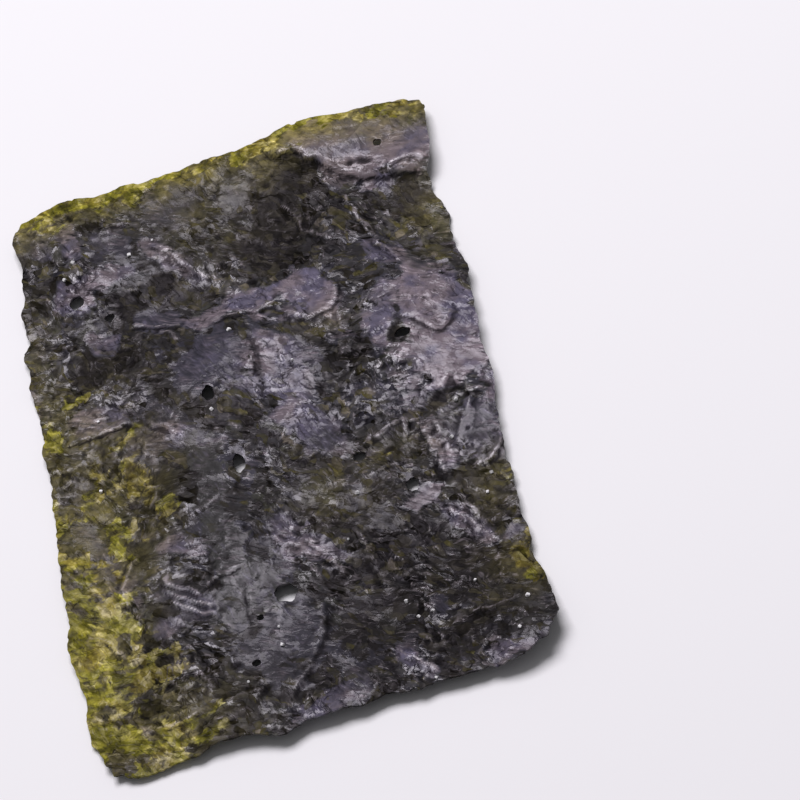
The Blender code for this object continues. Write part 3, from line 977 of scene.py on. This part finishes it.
class Nodes:
    """Short calls for building a material's node tree."""

    def __init__(self, name):
        self.material = bpy.data.materials.new(name)
        self.material.use_nodes = True
        self.tree = self.material.node_tree
        self.shader = self.tree.nodes["Principled BSDF"]

    def add(self, kind, **settings):
        node = self.tree.nodes.new(kind)
        for key, value in settings.items():
            setattr(node, key, value)
        return node

    def put(self, socket, value):
        """Links a socket to the value, or holds the value in it."""
        if isinstance(value, bpy.types.NodeSocket):
            self.tree.links.new(value, socket)
        else:
            socket.default_value = value

    def field(self, name):
        return self.add("ShaderNodeAttribute", attribute_name=name).outputs["Fac"]

    def math(self, operation, a, b):
        node = self.add("ShaderNodeMath", operation=operation)
        self.put(node.inputs[0], a)
        self.put(node.inputs[1], b)
        return node.outputs[0]

    def plus(self, *values):
        return reduce(lambda a, b: self.math("ADD", a, b), values)

    def minus(self, a, b):
        return self.math("SUBTRACT", a, b)

    def times(self, *values):
        return reduce(lambda a, b: self.math("MULTIPLY", a, b), values)

    def mix(self, share, a, b, blend="MIX"):
        node = self.add("ShaderNodeMix", data_type="RGBA", blend_type=blend)
        self.put(node.inputs[0], share)
        for socket, value in ((node.inputs[6], a), (node.inputs[7], b)):
            self.put(socket, value if isinstance(value, bpy.types.NodeSocket) else (*value, 1.0))
        return node.outputs[2]

    def span(self, value, low, high, to_low=0.0, to_high=1.0, smooth=False):
        """Carries low to high on to to_low to to_high, and holds the ends beyond."""
        node = self.add("ShaderNodeMapRange", interpolation_type="SMOOTHSTEP" if smooth else "LINEAR")
        for socket, number in zip(node.inputs, (value, low, high, to_low, to_high)):
            self.put(socket, number)
        return node.outputs[0]

    def between(self, share, at_0, at_1):
        return self.span(share, 0.0, 1.0, at_0, at_1)

    def noise(self, place, scale, detail=3.0, roughness=0.55, distortion=0.0):
        node = self.add("ShaderNodeTexNoise")
        names = ("Vector", "Scale", "Detail", "Roughness", "Distortion")
        for key, value in zip(names, (place, scale, detail, roughness, distortion)):
            self.put(node.inputs[key], value)
        return node.outputs[0]

    def cells(self, place, **settings):
        node = self.add("ShaderNodeTexVoronoi", voronoi_dimensions="2D", **settings)
        self.put(node.inputs["Vector"], place)
        node.inputs["Scale"].default_value = 1.0
        return node.outputs

    def vector(self, operation, a, b):
        node = self.add("ShaderNodeVectorMath", operation=operation)
        self.put(node.inputs[0], a)
        self.put(node.inputs[1], b)
        return node.outputs["Value" if operation == "DOT_PRODUCT" else "Vector"]

    def warped(self, place, scale, reach):
        """The place, shifted by a noise of this scale by up to about a third of the reach."""
        wander = self.add("ShaderNodeTexNoise")
        self.put(wander.inputs["Vector"], place)
        wander.inputs["Scale"].default_value = scale
        wander.inputs["Detail"].default_value = 1.0
        shift = self.vector("MULTIPLY", wander.outputs["Color"], (reach, reach, 0.0))
        return self.vector("ADD", place, shift)

    def turned(self, place, angle, long, wide):
        """Place measured along and across an angle, in lengths and widths given in millimetres."""
        node = self.add("ShaderNodeMapping", vector_type="TEXTURE")
        self.put(node.inputs["Vector"], place)
        node.inputs["Rotation"].default_value = (0.0, 0.0, math.radians(angle))
        node.inputs["Scale"].default_value = (long * MM, wide * MM, 1.0)
        return node.outputs[0]

    def ramp(self, value, stops):
        node = self.add("ShaderNodeValToRGB")
        elements = node.color_ramp.elements
        while len(elements) < len(stops):
            elements.new(1.0)
        for element, (place, colour) in zip(elements, stops):
            element.position = place
            element.color = (*colour, 1.0)
        self.put(node.inputs[0], value)
        return node.outputs[0]

    def bump(self, height, distance):
        node = self.add("ShaderNodeBump")
        self.put(node.inputs["Height"], height)
        node.inputs["Distance"].default_value = distance
        return node.outputs[0]


def folded(n, place, angle, long, wide):
    """Lines of folds, 1 on each crest and 0 between, that lie along an angle; sizes in millimetres."""
    raw = n.noise(n.turned(place, angle, long, wide), 1.0, 1.0, 0.5, 0.2)
    return n.minus(1.0, n.math("ABSOLUTE", n.span(raw, 0.3, 0.7, -1.0, 1.0), 0.0))


def streaked(n, place, angle, long, wide):
    """Soft streaks along an angle; sizes in millimetres."""
    return n.noise(n.turned(place, angle, long, wide), 1.0, 2.0, 0.5)


def flakes(n, turned):
    """Flakes side by side: the height of each one's tilt, and its own three numbers from 0 to 1."""
    cell = n.cells(turned)
    off = n.vector("SUBTRACT", turned, cell["Position"])
    lean = n.vector("SUBTRACT", cell["Color"], (0.5, 0.5, 0.5))
    split = n.add("ShaderNodeSeparateColor")
    n.put(split.inputs[0], cell["Color"])
    return n.vector("DOT_PRODUCT", off, lean), split.outputs


def crumpled(n, leaf, place, swirl, broad_flakes):
    """Adds the crests of the crumpling, its crevices as lines of painted shade, and the nicks and glints
    of its fine streaks: painted shade and painted highlight over a little bump.
    """
    either = leaf.either
    busy = n.span(leaf.drift, 0.42, 0.58, 0.1, 1.0, smooth=True)
    crest = n.mix(either, folded(n, swirl, 154.0, 2.2, 0.75), folded(n, swirl, 116.0, 2.4, 0.8))
    broken = n.span(n.noise(swirl, 1100.0, 1.0, 0.5), 0.42, 0.56, smooth=True)
    leaf.crest = n.times(n.span(crest, 0.74, 0.92), busy, leaf.wrinkled, broken)

    # Crevices: thin dark lines of painted shade, also along the seams of the broad flakes.
    crevice = n.mix(busy, folded(n, swirl, 108.0, 2.6, 1.0), folded(n, swirl, 158.0, 2.4, 0.95))
    deep = n.span(n.noise(place, 330.0, 1.0, 0.5), 0.44, 0.58, 0.15, 1.0, smooth=True)
    deep = n.times(n.span(leaf.wrinkled, 0.12, 0.6, 0.2, 1.0), deep)
    crevice = n.times(n.span(crevice, 0.82, 0.98, smooth=True), deep)
    to_seam = n.cells(broad_flakes, feature="DISTANCE_TO_EDGE")["Distance"]
    seam = n.times(n.span(to_seam, 0.0, 0.05, 1.0, 0.0), leaf.wrinkled, n.span(busy, 0.1, 1.0, 0.1, 0.7))
    leaf.crevice = n.times(n.math("MAXIMUM", crevice, seam), n.between(leaf.open, 1.0, 0.8))

    # Long fine streaks: their nicks are painted shade and their glints painted highlight.
    gentle = n.warped(place, 200.0, 0.0018)
    level, steep = streaked(n, gentle, 152.0, 2.1, 0.42), streaked(n, gentle, 114.0, 2.3, 0.46)
    leaf.streak = n.mix(n.math("MAXIMUM", either, n.span(leaf.thin, 0.1, 0.4)), level, steep)
    rugged = n.times(n.span(leaf.wrinkled, 0.15, 0.6, 0.3, 1.0), n.span(leaf.thin, 0.1, 0.6, 1.0, 0.9))
    leaf.nick = n.times(n.span(leaf.streak, 0.40, 0.32, smooth=True), rugged)
    leaf.glint = n.times(n.span(leaf.streak, 0.61, 0.70, smooth=True), rugged)


def leaf_patterns(n):
    """What the material reads: the skin's own fields, and the finer patterns drawn over them."""
    leaf = SimpleNamespace(**{name: n.field(name) for name in STORED})
    leaf.wrinkled = n.span(leaf.wrinkled, 0.0, 0.7, 0.12, 1.0)
    place = n.add("ShaderNodeNewGeometry").outputs["Position"]
    swirl = n.warped(n.warped(place, 160.0, 0.0036), 800.0, 0.0011)
    leaf.either = n.span(n.noise(place, 260.0, 2.0, 0.5), 0.46, 0.56, smooth=True)
    leaf.drift = n.noise(swirl, 420.0, 2.0, 0.5)
    leaf.patch = n.noise(place, 260.0, 3.0, 0.55)
    leaf.blotch = n.noise(place, 900.0, 4.0, 0.6)
    leaf.speck = n.noise(place, 3000.0, 3.0, 0.6)
    broad_flakes = n.turned(swirl, 115.0, 2.9, 1.5)
    leaf.broad_tilt, leaf.broad = flakes(n, broad_flakes)
    leaf.small_tilt, leaf.small = flakes(n, n.turned(swirl, 140.0, 1.3, 0.6))
    broad, small = leaf.broad, leaf.small

    # How far the film, glossy and with its painted sheen, covers a place: it is torn where flakes have
    # come away.
    loose = n.plus(n.between(broad[0], -0.22, 0.22), n.between(small[0], -0.32, 0.32))
    leaf.torn = n.plus(leaf.film, n.times(loose, leaf.wrinkled), n.span(leaf.blotch, 0.3, 0.7, -0.1, 0.1))

    # How far a place is a thin window, painted with the light that comes through it.
    window = n.plus(n.between(broad[2], -0.3, 0.3), n.span(leaf.drift, 0.3, 0.7, -0.6, 0.6))
    window = n.plus(window, n.span(leaf.blotch, 0.3, 0.7, -0.2, 0.2))
    window = n.plus(leaf.thin, n.times(window, n.span(leaf.thin, 0.1, 0.5)))
    leaf.open = n.span(window, 0.32, 0.66, smooth=True)

    # Each flake's own brightness.
    own = n.plus(leaf.tone, n.times(leaf.wrinkled, n.between(broad[0], -0.38, 0.38)))
    own = n.minus(own, n.times(leaf.crisp, 0.95))
    leaf.own = n.plus(own, n.times(leaf.wrinkled, n.between(small[1], -0.7, 0.7)))

    # Crowns of the relief and lips of the folds take painted highlight, feet painted shade.
    leaf.crown = n.span(leaf.cavity, -0.4, -1.0)
    leaf.lip = n.times(n.span(leaf.line, 0.3, 0.9), n.span(leaf.blotch, 0.4, 0.52))
    leaf.foot = n.span(leaf.line, -0.2, -0.8)
    crumpled(n, leaf, place, swirl, broad_flakes)
    return leaf


# Colours of the bare blade flake by flake, and of the earthy patches, from dark to light.
BARE_BLADE = (
    (0.16, (0.0040, 0.0030, 0.0016)),
    (0.30, (0.0120, 0.0100, 0.0045)),
    (0.42, (0.0260, 0.0245, 0.0230)),
    (0.62, (0.0480, 0.0470, 0.0500)),
    (0.74, (0.0560, 0.0500, 0.0180)),
    (0.88, (0.1600, 0.1380, 0.1100)),
)
EARTH = (
    (0.2, (0.0026, 0.0020, 0.0010)),
    (0.6, (0.0085, 0.0072, 0.0042)),
    (0.9, (0.0450, 0.0400, 0.0260)),
)

# Colours of the thin leaf's windows, where it is greener and where it is browner: partly its own colour,
# partly painted light coming through.
LIME = (
    (0.30, (0.040, 0.038, 0.006)),
    (0.42, (0.105, 0.100, 0.015)),
    (0.56, (0.235, 0.220, 0.038)),
    (0.66, (0.390, 0.355, 0.130)),
    (0.76, (0.600, 0.545, 0.320)),
)
AMBER = (
    (0.30, (0.038, 0.028, 0.008)),
    (0.42, (0.100, 0.080, 0.018)),
    (0.56, (0.235, 0.200, 0.050)),
    (0.66, (0.380, 0.335, 0.160)),
    (0.76, (0.580, 0.520, 0.350)),
)
SMOOTH_BLADE = (0.016, 0.0145, 0.014)
# The film's colours: partly its own, partly painted sheen.
PINKISH_FILM_SHEEN, BLUISH_FILM_SHEEN = (0.195, 0.160, 0.176), (0.110, 0.100, 0.146)
SLATE_FILM_SHEEN, SAGE_FILM_SHEEN = (0.041, 0.040, 0.052), (0.045, 0.046, 0.036)
GREEN_FLECK = (0.070, 0.062, 0.012)
# Painted light coming through the leaf: dim and pale tints, and a yellow filter over it.
DARK_GLOW, PALE_GLOW = (0.085, 0.076, 0.022), (0.230, 0.200, 0.085)
GLOW_FILTER = (1.18, 1.15, 0.67)
# Painted highlights: pale on the crowns, crests and lips, creamier where painted light comes through the
# leaf.
CROWN_HIGHLIGHT = (0.14, 0.125, 0.125)
CREST_HIGHLIGHT, LIT_CREST_HIGHLIGHT = (0.225, 0.196, 0.208), (0.40, 0.36, 0.19)
LIP_HIGHLIGHT, LIT_LIP_HIGHLIGHT = (0.30, 0.265, 0.275), (0.38, 0.33, 0.20)


def bare_blade(n, leaf):
    hue = n.plus(n.times(leaf.broad[1], 0.34), n.times(leaf.small[1], 0.4))
    hue = n.plus(hue, n.span(leaf.patch, 0.35, 0.65, 0.0, 0.25))
    return n.mix(n.minus(1.0, leaf.wrinkled), n.ramp(hue, BARE_BLADE), SMOOTH_BLADE)


def filmed(n, leaf, body):
    """Lays the film on, with its sheen painted into the colour: pinkish in one place, bluish in another,
    slate or sage where it is thin.
    """
    milky_sheen = n.mix(n.span(leaf.patch, 0.42, 0.58), PINKISH_FILM_SHEEN, BLUISH_FILM_SHEEN)
    plain_sheen = n.mix(n.span(leaf.warm, 0.0, 0.8), SLATE_FILM_SHEEN, SAGE_FILM_SHEEN)
    sheen_amount = n.plus(leaf.film, n.span(leaf.streak, 0.3, 0.7, -0.12, 0.12))
    worn = n.times(n.between(leaf.small[1], 0.0, 0.3), leaf.wrinkled)
    covered = n.times(n.span(leaf.torn, 0.50, 0.56, smooth=True), n.minus(0.95, worn))
    return n.mix(covered, body, n.mix(n.span(sheen_amount, 0.62, 0.88), plain_sheen, milky_sheen))


def earthy(n, leaf, body):
    """Darkens the olive patches, and sets green flecks among the flakes."""
    body = n.mix(n.times(leaf.olive, 0.72), body, n.ramp(leaf.small[2], EARTH))
    fleck = n.times(n.span(leaf.small[2], 0.92, 0.94), leaf.wrinkled, leaf.either)
    return n.mix(n.times(fleck, 0.75), body, GREEN_FLECK)


def glowing(n, leaf, body):
    """Paints the light that comes through the thin leaf: windows of lime and amber, partly the thin leaf's
    own colour, between darker blades with a little painted glow.
    """
    light = n.plus(n.times(leaf.small[0], 0.2), n.times(leaf.blotch, 0.7), n.times(leaf.patch, 0.5), -0.18)
    browner = n.plus(leaf.patch, n.times(leaf.olive, 0.3))
    gold = n.mix(n.span(browner, 0.5, 0.6), n.ramp(light, LIME), n.ramp(light, AMBER))
    tint = n.times(leaf.glow, n.span(leaf.broad[1], 0.1, 0.9, 0.5, 0.85))
    body = n.mix(tint, body, n.mix(n.span(leaf.blotch, 0.38, 0.58), DARK_GLOW, PALE_GLOW))
    body = n.mix(leaf.open, body, gold)
    return n.mix(n.times(leaf.glow, 0.9), body, GLOW_FILTER, blend="MULTIPLY")


def shaded(n, leaf, body):
    """Paints highlight on the crowns, crests and lips, and shade in the feet, hollows, crevices and nicks,
    lighter on glints and along the streaks; and sets each flake's own brightness.
    """
    lit = n.span(leaf.glow, 0.2, 0.7)
    body = n.mix(n.times(leaf.crown, 0.35), body, CROWN_HIGHLIGHT)
    body = n.mix(n.times(leaf.crest, n.between(leaf.crisp, 0.3, 0.8)), body, n.mix(lit, CREST_HIGHLIGHT, LIT_CREST_HIGHLIGHT))
    body = n.mix(n.times(leaf.lip, 0.65), body, n.mix(lit, LIP_HIGHLIGHT, LIT_LIP_HIGHLIGHT))
    # depth darkens and lightens the colour: painted shade in the hollows, crevices, feet and nicks,
    # painted highlight on the crowns, along the streaks and on the glints, and each flake's own
    # brightness.
    depth = n.times(
        n.span(leaf.cavity, -0.2, 0.9, 1.08, 0.3),
        n.between(leaf.crevice, 1.0, 0.25),
        n.between(leaf.foot, 1.0, 0.3),
        n.span(leaf.streak, 0.32, 0.68, 0.92, 1.08),
        n.between(leaf.nick, 1.0, 0.5),
        n.between(leaf.glint, 0.99, 1.6),
        n.span(leaf.own, -1.5, 1.5, 0.5, 1.5),
    )
    shade = n.add("ShaderNodeVectorMath", operation="SCALE")
    n.put(shade.inputs["Vector"], body)
    n.put(shade.inputs["Scale"], depth)
    return shade.outputs[0]


def glazed(n, leaf):
    """How shiny a place is: whole flakes, more on some than on others, but not in the hollows."""
    glaze = n.plus(n.span(leaf.torn, 0.25, 0.75, 0.02, 0.62), n.times(leaf.crown, 0.2))
    glaze = n.times(
        glaze,
        n.span(leaf.own, -1.5, 1.5, 0.3, 1.7),
        n.between(leaf.nick, 1.05, 0.4),
        n.between(leaf.glint, 1.0, 1.5),
        n.between(leaf.wrinkled, 0.4, 1.0),
    )
    glaze = n.times(
        n.plus(glaze, n.times(leaf.crest, n.between(leaf.crisp, 0.25, 0.6))),
        n.span(leaf.cavity, -0.1, 0.5, 1.0, 0.0),
        n.between(leaf.crevice, 1.0, 0.0),
        n.span(leaf.thin, 0.1, 0.7, 1.0, 0.3),
        n.between(leaf.glow, 1.0, 0.25),
        n.between(leaf.foot, 1.0, 0.2),
    )
    return n.math("MINIMUM", n.plus(glaze, n.times(leaf.lip, 0.3)), 1.0)


def nori_material():
    n = Nodes("nori_leaf")
    leaf = leaf_patterns(n)
    body = glowing(n, leaf, earthy(n, leaf, filmed(n, leaf, bare_blade(n, leaf))))
    n.put(n.shader.inputs["Base Color"], shaded(n, leaf, body))

    rough = n.plus(n.span(leaf.speck, 0.3, 0.7, 0.26, 0.42), n.times(leaf.olive, 0.1))
    rough = n.plus(rough, n.between(leaf.cavity, 0.0, 0.25))
    n.put(n.shader.inputs["Roughness"], n.math("MINIMUM", rough, 0.9))
    n.shader.inputs["Specular IOR Level"].default_value = 0.07
    n.shader.inputs["Specular Tint"].default_value = (1.0, 0.88, 1.0, 1.0)
    n.put(n.shader.inputs["Coat Weight"], glazed(n, leaf))
    n.shader.inputs["Coat Roughness"].default_value = 0.11
    n.shader.inputs["Coat IOR"].default_value = 1.6

    height = n.times(n.plus(n.times(leaf.broad_tilt, 0.5), n.times(leaf.small_tilt, 0.45)), leaf.wrinkled)
    height = n.plus(height, n.times(leaf.crest, 0.08), n.times(leaf.streak, 0.03))
    height = n.plus(height, n.times(leaf.nick, -0.03), n.times(n.plus(leaf.glint, leaf.speck), 0.02))
    normal = n.bump(height, MM)
    n.put(n.shader.inputs["Normal"], normal)
    n.put(n.shader.inputs["Coat Normal"], normal)
    return n.material


def salt_material():
    n = Nodes("salt")
    n.shader.inputs["Base Color"].default_value = (0.86, 0.86, 0.84, 1.0)
    place = n.add("ShaderNodeNewGeometry").outputs["Position"]
    n.put(n.shader.inputs["Roughness"], n.span(n.noise(place, 6000.0), 0.3, 0.7, 0.15, 0.4))
    n.shader.inputs["IOR"].default_value = 1.54
    n.shader.inputs["Subsurface Weight"].default_value = 0.3
    n.shader.inputs["Subsurface Radius"].default_value = (0.0003, 0.0003, 0.0003)
    return n.material


# -------------------- salt

# Where the photo shows grains of salt, and how many more are scattered.
SALT_PLACES = (
    (-5.6, 3.9),
    (-2.0, 14.5),
    (-18.2, 7.6),
    (-18.0, 32.2),
    (-19.3, 30.3),
    (-8.7, 32.5),
    (-2.9, -31.5),
    (-7.1, -35.2),
    (6.0, -19.7),
    (11.4, -32.3),
    (13.0, -32.2),
    (18.0, -30.0),
    (23.0, -35.0),
    (12.0, -42.0),
    (10.5, -29.8),
    (21.5, -39.3),
    (22.3, -16.4),
)
SALT_SCATTERED = 8
SALT_SIZE = (0.22, 0.42)
SHARP_SALT = 40.0  # degrees


def salt_grain(size, place, rng):
    """A worn cube of salt, turned at random."""
    grain = bmesh.new()
    bmesh.ops.create_cube(grain, size=size)
    for vertex in grain.verts:
        vertex.co += Vector(rng.uniform(-0.12, 0.12, 3) * size)
    bmesh.ops.bevel(grain, geom=grain.edges[:], offset=0.13 * size, segments=2, affect="EDGES")
    turn = Matrix.Rotation(rng.uniform(0, math.tau), 4, Vector(rng.normal(size=3)).normalized())
    grain.transform(Matrix.Translation(place) @ turn)
    mesh = bpy.data.meshes.new("grain")
    grain.to_mesh(mesh)
    grain.free()
    return mesh


def make_salt(x, y, top):
    """The grains that the photo shows and a few more, as one piece, all under the CAD's top."""
    rng = np.random.default_rng(SEED + 5)
    low, high = (x.min() + 3, y.min() + 3), (x.max() - 3, y.max() - 3)
    places = list(SALT_PLACES)
    for _ in range(SALT_SCATTERED):
        places.append((rng.uniform(low[0], high[0]), rng.uniform(low[1], high[1])))
    whole = bmesh.new()
    for px, py in places:
        size = rng.uniform(*SALT_SIZE)
        nearest = np.unravel_index(np.argmin((x - px) ** 2 + (y - py) ** 2), x.shape)
        height = top[nearest] + 0.25 * size
        if height <= cad_high[2] / MM - 1.1 * size:
            grain = salt_grain(size, (px, py, height), rng)
            whole.from_mesh(grain)
            bpy.data.meshes.remove(grain)
    whole.transform(Matrix.Scale(MM, 4))
    mesh = bpy.data.meshes.new("salt")
    whole.to_mesh(mesh)
    whole.free()
    mesh.shade_smooth()
    mesh.set_sharp_from_angle(angle=math.radians(SHARP_SALT))
    salt = bpy.data.objects.new("salt", mesh)
    bpy.context.scene.collection.objects.link(salt)
    salt.data.materials.append(salt_material())
    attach(salt, "root")


# -------------------- floor, light and camera


def make_floor():
    bpy.ops.mesh.primitive_plane_add(size=4.0, location=(0.0, 0.0, -0.00005))
    floor = bpy.context.object
    floor.name = "floor"
    n = Nodes("floor")
    n.shader.inputs["Base Color"].default_value = (0.86, 0.866, 0.846, 1.0)
    n.shader.inputs["Roughness"].default_value = 0.9
    n.shader.inputs["Specular IOR Level"].default_value = 0.1
    floor.data.materials.append(n.material)


KEY_PLACE = (-0.06, 0.36, 0.80)
KEY_SIZE = (0.6, 0.5)
KEY_POWER = 8.1
KEY_COLOUR = (1.0, 0.955, 1.04)


def make_key_light():
    """One large soft light, behind and above the leaf."""
    data = bpy.data.lights.new("key", "AREA")
    data.shape = "RECTANGLE"
    data.size, data.size_y = KEY_SIZE
    data.energy = KEY_POWER
    data.color = KEY_COLOUR
    light = bpy.data.objects.new("key", data)
    light.location = KEY_PLACE
    light.rotation_euler = (-Vector(KEY_PLACE)).to_track_quat("-Z", "Y").to_euler()
    bpy.context.scene.collection.objects.link(light)


WORLD_COLOUR = (0.99, 0.97, 1.04, 1.0)
WORLD_STRENGTH = 0.19


def make_world():
    world = bpy.data.worlds.new("studio")
    world.use_nodes = True
    background = world.node_tree.nodes["Background"]
    background.inputs["Color"].default_value = WORLD_COLOUR
    background.inputs["Strength"].default_value = WORLD_STRENGTH
    bpy.context.scene.world = world


CAMERA_PLACE = (0.0516, -0.3741, 0.3792)
CAMERA_AIM = (0.01462, -0.00306, 0.00192)
CAMERA_ROLL = 20.7  # degrees
CAMERA_LENS = 223.3
CAMERA_SENSOR = 36.0


def make_camera():
    data = bpy.data.cameras.new("camera")
    data.sensor_width = CAMERA_SENSOR
    data.lens = CAMERA_LENS
    data.clip_start, data.clip_end = 0.01, 10.0
    camera = bpy.data.objects.new("camera", data)
    camera.location = CAMERA_PLACE
    aim = (Vector(CAMERA_AIM) - Vector(CAMERA_PLACE)).to_track_quat("-Z", "Y")
    roll = Matrix.Rotation(math.radians(-CAMERA_ROLL), 3, "Z").to_quaternion()
    camera.rotation_euler = (aim @ roll).to_euler()
    bpy.context.scene.collection.objects.link(camera)
    bpy.context.scene.camera = camera


leaf, leaf_x, leaf_y, leaf_top = make_leaf()
leaf.data.materials.append(nori_material())
make_salt(leaf_x, leaf_y, leaf_top)
make_floor()
make_world()
make_key_light()
make_camera()
bpy.context.scene.view_settings.view_transform = "Standard"
